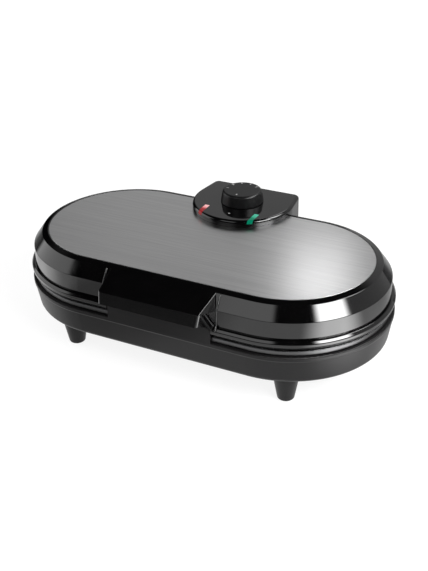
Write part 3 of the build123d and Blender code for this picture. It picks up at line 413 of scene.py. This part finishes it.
sheen_data = bpy.data.lights.new("sheen_lamp", "AREA")
sheen_data.size = SHEEN_SIZE
sheen_data.energy = SHEEN_BRIGHTNESS * math.pi * SHEEN_SIZE ** 2
sheen_lamp = bpy.data.objects.new("sheen_lamp", sheen_data)
sheen_lamp.visible_camera = False
sheen_turn = (SHEEN_PLACE - SHEEN_AIM).to_track_quat("Z", "Y")
sheen_lamp.matrix_world = Matrix.Translation(SHEEN_PLACE) @ sheen_turn.to_matrix().to_4x4()
bpy.context.scene.collection.objects.link(sheen_lamp)
print("sheen lamp power", round(sheen_data.energy, 3))

# %% [markdown]
# ## Glossy black mouldings
#
# The lid, the control housing and the handle are moulded in glossy black plastic. A plain mirror
# black looks like glass, because a real moulding is never quite flat: it has a slight ripple from
# the tool, and fine marks from handling that dull it in places. So the relief is a ripple some
# millimetres long and a few thousandths high, and the roughness wanders a little. The thin raised
# line at the handle's root is the same plastic rubbed rougher, so it catches light from more
# directions, and it is given a lighter black than the lid as a painted highlight.

# %% Glossy black
@finish_for("lid_gloss")
def lid_gloss():
    finish = Finish("gloss_black", ior=1.58)
    handled = finish.grain(14.0, detail=3.0)
    fine = finish.grain(1.2, detail=2.0)
    finish.set(base_color=finish.mix(handled, rgb(0.0007, 0.0007, 0.0008),
                                     rgb(0.0018, 0.0017, 0.0018)),
               roughness=0.05 + handled * 0.035 + fine * 0.015)
    finish.relief(finish.grain(9.0, detail=1.0) * 0.006 + fine * 0.0006)
    return finish


@finish_for("root_gloss")
def root_gloss():
    finish = Finish("worn_black_painted_highlight", ior=1.58)
    worn = finish.grain(2.0, detail=2.0)
    # Both blacks here are lighter than the lid's, as a painted highlight; the grain only varies
    # them a little.
    finish.set(base_color=finish.mix(worn, rgb(0.010), rgb(0.016)), roughness=0.32 + worn * 0.08)
    finish.relief(worn * 0.004)
    return finish

# %% [markdown]
# ## Satin mouldings
#
# The base, the feet and the knob are the same kind of plastic with a spark-eroded grain, which
# spreads the light into a soft sheen. The grain could be a picture; noise with lumps of a
# quarter of a millimetre gives the same break-up at any distance and needs no picture. The
# rubber of the pads is the same again, but paler and duller.

# %% Satin plastics
def satin(name, colour, pale, roughness):
    """A moulded satin plastic whose shade and sheen wander slightly."""
    finish = Finish(name, ior=1.5, specular_ior_level=0.25)
    cloud = finish.grain(22.0, detail=3.0)
    grain = finish.grain(0.28, detail=1.0)
    finish.set(base_color=finish.mix(cloud * 0.7 + grain * 0.3, colour, pale),
               roughness=roughness + cloud * 0.08 + grain * 0.04)
    finish.relief(grain * 0.006)
    return finish


@finish_for("base_plastic")
def base_plastic():
    return satin("satin_charcoal", rgb(0.0045, 0.0043, 0.0045), rgb(0.008, 0.0076, 0.008), 0.30)


@finish_for("knob_plastic")
def knob_plastic():
    return satin("satin_knob", rgb(0.003, 0.003, 0.0032), rgb(0.006, 0.006, 0.0062), 0.24)


@finish_for("pad_rubber")
def pad_rubber():
    return satin("soft_rubber", rgb(0.012), rgb(0.022, 0.021, 0.020), 0.62)

# %% [markdown]
# ## Brushed steel
#
# The top plate is steel brushed lengthwise. The brush leaves grooves along x, so the surface
# tilts only across them, and a highlight smears out in y. That could be faked with a stretched
# highlight; real grooves in the relief do it from every side. Grooves a third of a millimetre
# apart give the smear, and wider, fainter bands give the streaks that the eye can follow.

# %% Brushed plate
@finish_for("brushed_plate")
def brushed_plate():
    finish = Finish("brushed_steel_plate", metallic=1.0)
    grooves = finish.grain(0.34, along=60.0, detail=2.0, roughness=0.6)
    streaks = finish.grain(2.2, along=90.0, detail=4.0, roughness=0.65)
    bands = finish.grain(14.0, along=260.0, detail=1.0)
    shade = (streaks * 0.6 + grooves * 0.25 + bands * 0.15).rise(0.30, 0.70)
    finish.set(base_color=finish.mix(shade, rgb(0.54, 0.54, 0.545), rgb(0.67, 0.67, 0.67)),
               roughness=0.25 + streaks * 0.10)
    finish.relief(grooves * 0.016 + streaks * 0.006)
    return finish

# %% [markdown]
# ## Cast cooking plates
#
# Each plate is one aluminium casting. Its cooking face has a dark coating with a fine sparkle,
# and its outer edge, which shows as a ring between lid and base, is bare turned metal. One
# material does both: the distance from the middle line of the oblong tells the edge from the
# face, and the two colours are mixed by it.

# %% Cast plates
PLAN_HALF_SPACING = 84.0
BARE_EDGE = 88.6
BARE_EDGE_BLUR = 0.2


@finish_for("cast_plate")
def cast_plate():
    finish = Finish("cast_aluminium")
    past_end = (abs(finish.x) - PLAN_HALF_SPACING).at_least(0.0)
    distance = (past_end * past_end + finish.y * finish.y) ** 0.5
    bare = distance.rise(BARE_EDGE - BARE_EDGE_BLUR, BARE_EDGE + BARE_EDGE_BLUR)
    sand = finish.grain(0.7, detail=3.0, roughness=0.65)
    sparkle = finish.grain(0.22, detail=0.0).rise(0.66, 0.72)
    turned = finish.grain(30.0, up=0.22, detail=2.0)
    coating = finish.mix(sparkle, rgb(0.020, 0.020, 0.022), rgb(0.085, 0.085, 0.090))
    metal = finish.mix(turned, rgb(0.07, 0.07, 0.072), rgb(0.15, 0.15, 0.152))
    finish.set(base_color=finish.mix(bare, coating, metal), metallic=bare,
               roughness=0.40 + sand * 0.12 - bare * 0.12)
    finish.relief(sand * 0.03 + bare * turned * 0.004)
    return finish

# %% [markdown]
# ## What is hidden when the lid is shut
#
# A hot plate cooker holds more than it shows: heater tubes that have gone brown with heat, trays
# of aluminised sheet, ceramic bushes, brass terminals and a fuse. They show when someone takes
# the part apart, so each has its own finish as well, worked out in the same way.

# %% Metals inside
@finish_for("element_tube")
def element_tube():
    finish = Finish("heated_steel_tube", metallic=1.0)
    heat = finish.grain(26.0, detail=3.0, roughness=0.6).rise(0.35, 0.65)
    scale = finish.grain(0.8, detail=3.0)
    warm = finish.mix(heat, rgb(0.20, 0.19, 0.20), rgb(0.27, 0.20, 0.13))
    finish.set(base_color=finish.mix(scale * 0.5, warm, rgb(0.10, 0.09, 0.09)),
               roughness=0.38 + scale * 0.2)
    finish.relief(scale * 0.02)
    return finish


@finish_for("reflector_sheet")
def reflector_sheet():
    finish = Finish("aluminised_sheet", metallic=1.0)
    spangle = finish.add("ShaderNodeTexVoronoi", {}, {"Vector": finish.place, "Scale": 0.16},
                         "Color")
    rolled = finish.grain(0.6, along=40.0)
    stain = finish.grain(40.0, detail=3.0).rise(0.5, 0.8)
    plain = finish.mix(rolled, rgb(0.66, 0.66, 0.67), rgb(0.78, 0.78, 0.78))
    shaded = finish.mix(0.08, plain, spangle)
    finish.set(base_color=finish.mix(stain * 0.5, shaded, rgb(0.55, 0.45, 0.30)),
               roughness=0.28 + rolled * 0.15)
    finish.relief(rolled * 0.003)
    return finish


def plated(name, dull, bright, roughness):
    """A small metal piece whose plating has bright and dull patches and fine tool marks."""
    finish = Finish(name, metallic=1.0)
    patches = finish.grain(3.0, detail=3.0)
    marks = finish.grain(0.5, up=0.15, detail=1.0)
    finish.set(base_color=finish.mix(patches, dull, bright), roughness=roughness + marks * 0.15)
    finish.relief(marks * 0.004)
    return finish


@finish_for("screw_steel")
def screw_steel():
    return plated("zinc_plate", rgb(0.46, 0.47, 0.49), rgb(0.66, 0.67, 0.68), 0.24)


@finish_for("terminal_brass")
def terminal_brass():
    return plated("turned_brass", rgb(0.50, 0.34, 0.13), rgb(0.78, 0.58, 0.27), 0.22)


@finish_for("fuse_tin")
def fuse_tin():
    return plated("tinned_can", rgb(0.50, 0.50, 0.48), rgb(0.68, 0.68, 0.66), 0.30)

# %% [markdown]
# The pieces that keep the heat and the current in are fired ceramic, and the thermostat's case is
# a mineral filled moulding. Both are chalky, so they share one recipe.

# %% Ceramics
def fired(name, pale, dark, speck):
    """An unglazed fired or mineral filled piece: chalky, with specks and tiny pits."""
    finish = Finish(name, roughness=0.78)
    cloud = finish.grain(4.0, detail=3.0)
    specks = finish.grain(0.35, detail=1.0).rise(0.70, 0.76)
    finish.set(base_color=finish.mix(specks * 0.6, finish.mix(cloud, pale, dark), speck))
    finish.relief(finish.grain(0.3, detail=2.0) * 0.02)
    return finish


@finish_for("ceramic")
def ceramic():
    return fired("white_ceramic", pale=rgb(0.80, 0.78, 0.72), dark=rgb(0.70, 0.67, 0.60),
                 speck=rgb(0.35, 0.30, 0.25))


@finish_for("thermostat_case")
def thermostat_case():
    return fired("filled_moulding", pale=rgb(0.74, 0.71, 0.64), dark=rgb(0.64, 0.60, 0.52),
                 speck=rgb(0.42, 0.38, 0.32))

# %% [markdown]
# ## Lamps and their lenses
#
# Two small neon lamps sit under two clear coloured bars. In use both bars glow: pale where the
# lamp is close, and deep in colour at the rim, where the light has gone through more plastic. A
# lamp inside each bar would take long to settle into an even picture, so the glow is given to
# the bars themselves, as a colour that follows the distance from the lamp.

# %% Lenses
LENS_RIM_Y = 38.0
LENS_LAMP_Y = 54.5


def lens(name, deep, bright, hot):
    """A clear coloured bar, lit from its inner end."""
    finish = Finish(name, roughness=0.12, ior=1.5, specular_ior_level=0.2, emission_strength=1.0)
    near_lamp = finish.y.rise(LENS_RIM_Y, LENS_LAMP_Y)
    ribs = finish.grain(1.1, detail=1.0)
    glow = finish.mix(near_lamp.rise(0.25, 0.75), deep, bright)
    glow = finish.mix(near_lamp.rise(0.45, 1.0) * (0.55 + ribs * 0.45), glow, hot)
    finish.set(base_color=finish.mix(ribs, rgb(0.002), deep), emission_color=glow)
    finish.relief(ribs * 0.02)
    return finish


@finish_for("red_lens")
def red_lens():
    return lens("red_lens", rgb(0.17, 0.006, 0.008), rgb(0.45, 0.05, 0.06), rgb(0.95, 0.62, 0.62))


@finish_for("green_lens")
def green_lens():
    return lens("green_lens", rgb(0.0, 0.10, 0.055), rgb(0.012, 0.26, 0.15), rgb(0.10, 0.48, 0.35))

# %% [markdown]
# A neon lamp is a clear tube, dark at both ends where its electrodes and its seal are. The white
# ink of the prints comes last, and is slightly uneven, as pad printing is.

# %% Neon lamps and ink
NEON_MIDDLE_Y = 53.5
NEON_CLEAR_HALF, NEON_DARK_HALF = 4.5, 7.0


@finish_for("lamp_glass")
def lamp_glass():
    finish = Finish("neon_glass", roughness=0.08, ior=1.5, transmission_weight=0.7)
    ends = abs(finish.y - NEON_MIDDLE_Y).rise(NEON_CLEAR_HALF, NEON_DARK_HALF)
    haze = finish.grain(1.5, detail=2.0)
    finish.set(base_color=finish.mix(ends, rgb(0.95, 0.80, 0.70), rgb(0.35, 0.33, 0.32)))
    finish.relief(haze * 0.01)
    return finish


@finish_for("print_white")
def print_white():
    finish = Finish("printed_white", roughness=0.45)
    ink = finish.grain(0.3, detail=2.0)
    finish.set(base_color=finish.mix(ink, rgb(0.50, 0.50, 0.50), rgb(0.64, 0.64, 0.63)))
    finish.relief(ink * 0.01)
    return finish

# %% [markdown]
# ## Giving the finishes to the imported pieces
#
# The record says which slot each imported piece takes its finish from. Giving a piece its finish
# only changes what its material slots hold: the mesh, and where it sits, stay as they are.

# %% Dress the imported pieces
slot_of_node = {part["node"]: part["material_slot"] for part in frame["record"]["subparts"]}
for node_name, packed in frame["nodes"].items():
    for place_in_list in range(len(packed.data.materials)):
        packed.data.materials[place_in_list] = finishes[slot_of_node[node_name]]
print("dressed", len(frame["nodes"]), "pieces")

# %% [markdown]
# ## Making new pieces
#
# Two pads of ink and two beads are worked out here as rings of points, and a surface is laid over
# them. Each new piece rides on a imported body, so it moves with the lid or the knob.

# %% Surfaces from rings
PAD_SIDES = 32
TUBE_SIDES = 16


def finish_mesh(name, mesh, body, finish_name):
    """Merges doubles, turns the faces outwards, gives the finish and hangs it on its body."""
    work = bmesh.new()
    work.from_mesh(mesh)
    bmesh.ops.remove_doubles(work, verts=work.verts, dist=1e-7)
    bmesh.ops.recalc_face_normals(work, faces=work.faces)
    work.to_mesh(mesh)
    work.free()
    mesh.materials.clear()
    mesh.materials.append(finishes[finish_name])
    piece = bpy.data.objects.new(name, mesh)
    bpy.context.scene.collection.objects.link(piece)
    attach(piece, body)
    return piece


def grid_piece(name, points, body, finish_name):
    """A closed surface from rings of points: rows run outwards, columns round, poles merged."""
    rows, columns = points.shape[:2]
    number = np.arange(rows * columns).reshape(rows, columns)
    beside = np.roll(number, -1, axis=1)
    faces = np.stack([number[:-1], number[1:], beside[1:], beside[:-1]], axis=2).reshape(-1, 4)
    mesh = bpy.data.meshes.new(name)
    mesh.from_pydata(points.reshape(-1, 3), [], faces)
    return finish_mesh(name, mesh, body, finish_name)


def tube(name, path, radii, body, finish_name):
    """A round bead along a path of x, y, z points in millimetres.

    Each ring lies across the path: centre + r (cos t * side + sin t * out), where side is the
    x axis and out is the cross product of the path's direction with it. The path keeps to a
    plane of one x. Radii that fall to nothing close both ends.
    """
    ahead = np.gradient(path, axis=0)
    ahead /= np.linalg.norm(ahead, axis=1, keepdims=True)
    side = np.array([1.0, 0.0, 0.0])
    out = np.cross(ahead, side)
    turns = np.linspace(0, 2 * np.pi, TUBE_SIDES, endpoint=False)
    ring = np.cos(turns)[None, :, None] * side + np.sin(turns)[None, :, None] * out[:, None, :]
    points = path[:, None, :] + radii[:, None, None] * ring
    return grid_piece(name, points * MM, body, finish_name)


print("a pad has", PAD_SIDES, "sides and a tube", TUBE_SIDES)

# %% [markdown]
# ## The dial's marks
#
# The knob has a printed scale: a dot that meets a small mark on the housing when the cooker is
# off, then five numbers. They could be painted in the knob's material, but a print that is a
# piece of its own stays sharp at any distance and turns with the knob. Each is a pad of ink a few
# hundredths of a millimetre thick. The dot and the mark are worked out here as one surface each,
# and the numbers come from the built-in font, turned to face outwards.

# %% Printed marks
KNOB_Y = 78.0
INK = 0.05
DOT_FROM_MIDDLE, DOT_HALF = 12.9, 0.6
INDEX_MIDDLE = (1.2, 46.0)
INDEX_HALF_LENGTH, INDEX_HALF_WIDTH = 1.2, 0.35
knob_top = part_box("knob")[1].z / MM
roof_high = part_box("control_housing")[1].z / MM


def pad(name, middle, half_length, half_width, base, body):
    """A flat pad of ink with rounded ends, in millimetres.

    The outline is a squared circle, |x/a|^4 + |y/b|^4 = 1, as x = a cos(t)^(1/2) and
    y = b sin(t)^(1/2) with the signs kept. Rings of it, scaled from the middle to 1 on the top
    and back to the middle below, close the pad.
    """
    turns = np.linspace(0, 2 * np.pi, PAD_SIDES, endpoint=False)
    scale = np.array([0.0, 0.6, 0.96, 1.0, 1.0, 0.0])
    height = np.array([INK, INK, INK, INK * 0.7, 0.0, 0.0])
    rounded_x = np.sign(np.cos(turns)) * np.abs(np.cos(turns)) ** 0.5
    rounded_y = np.sign(np.sin(turns)) * np.abs(np.sin(turns)) ** 0.5
    rings_x = middle[0] + half_length * np.outer(scale, rounded_x)
    rings_y = middle[1] + half_width * np.outer(scale, rounded_y)
    rings_z = base + np.repeat(height[:, None], len(turns), axis=1)
    points = np.stack([rings_x, rings_y, rings_z], axis=2)
    return grid_piece(name, points * MM, body, "print_white")


pad("dial_dot", (0.0, KNOB_Y - DOT_FROM_MIDDLE), DOT_HALF, DOT_HALF, knob_top, "knob")
pad("roof_index", INDEX_MIDDLE, INDEX_HALF_LENGTH, INDEX_HALF_WIDTH, roof_high, "lid")
print("dot and index mark made")

# %% [markdown]
# ## The line at the handle's root
#
# Where the handle's cheeks meet the lid there is a thin raised line that catches the light. It
# follows the lid's shoulder, crease and wall, and swells to a small round end beside the tongue.
# Straight runs between those corners are resampled evenly, and a running mean rounds the corners.

# %% Beads at the root of the handle
ROOT_HALF = 56.3
ROOT_RADIUS = 0.75
ROOT_END_RADIUS = 1.3
ROOT_END_SHARE, ROOT_END_SPREAD = 0.95, 0.04
ROOT_TAPER_SHARE = 0.02
ROOT_RINGS = 70
ROOT_MEAN_OF = 5
# Places from the lid's rim down to the tongue, as y and z in millimetres
root_corners = np.array([(-83.6, 101.6), (-92.0, 90.2), (-92.5, 76.5),
                         (-95.0, 73.4), (-96.2, 71.6)])

runs = np.linalg.norm(np.diff(root_corners, axis=0), axis=1)
lengths = np.concatenate([[0.0], np.cumsum(runs)])
steps = np.linspace(0.0, lengths[-1], ROOT_RINGS)
root_y = np.interp(steps, lengths, root_corners[:, 0])
root_z = np.interp(steps, lengths, root_corners[:, 1])
window = np.ones(ROOT_MEAN_OF) / ROOT_MEAN_OF
inner = slice(ROOT_MEAN_OF // 2, -(ROOT_MEAN_OF // 2))
root_y[inner] = np.convolve(root_y, window, "valid")
root_z[inner] = np.convolve(root_z, window, "valid")

share = steps / lengths[-1]
swell = np.exp(-((share - ROOT_END_SHARE) / ROOT_END_SPREAD) ** 2)
root_radii = ROOT_RADIUS + (ROOT_END_RADIUS - ROOT_RADIUS) * swell
root_radii *= np.sqrt(np.clip(np.minimum(share, 1 - share) / ROOT_TAPER_SHARE, 0.0, 1.0))
for half, side_name in ((-ROOT_HALF, "left"), (ROOT_HALF, "right")):
    root_path = np.stack([np.full_like(root_y, half), root_y, root_z], axis=1)
    bead = tube("handle_root_" + side_name, root_path, root_radii, "lid", "root_gloss")
print("two root beads of", ROOT_RINGS, "rings")

# %% [markdown]
# ## The numbers
#
# They stand in a part circle near the edge of the knob, each with its foot towards the middle,
# and run clockwise from the left.

# %% Numbers round the dial
NUMBER_HEIGHT = 2.6
FONT_SIZE_FOR_HEIGHT = 1.4
NUMBER_RADIUS = 15.0
FIRST_ANGLE = 187.0
ANGLE_STEP = -35.0


def dial_number(text, angle):
    """A printed number on the knob's top, its foot towards the middle of the knob."""
    curve = bpy.data.curves.new("dial_number_" + text, "FONT")
    curve.body = text
    curve.size = NUMBER_HEIGHT * FONT_SIZE_FOR_HEIGHT * MM
    curve.extrude = INK / 2 * MM
    curve.align_x = "CENTER"
    curve.align_y = "CENTER"
    holder = bpy.data.objects.new("number_holder", curve)
    bpy.context.scene.collection.objects.link(holder)
    mesh = bpy.data.meshes.new_from_object(holder)
    bpy.data.objects.remove(holder)
    around = math.radians(angle)
    spot = Vector((NUMBER_RADIUS * math.cos(around), KNOB_Y + NUMBER_RADIUS * math.sin(around),
                   knob_top + INK / 2)) * MM
    mesh.transform(Matrix.Translation(spot) @ Matrix.Rotation(around - math.pi / 2, 4, "Z"))
    mesh.name = "dial_number_" + text
    return finish_mesh(mesh.name, mesh, "knob", "print_white")


for step, text in enumerate("12345"):
    dial_number(text, FIRST_ANGLE + step * ANGLE_STEP)
print("five numbers made")
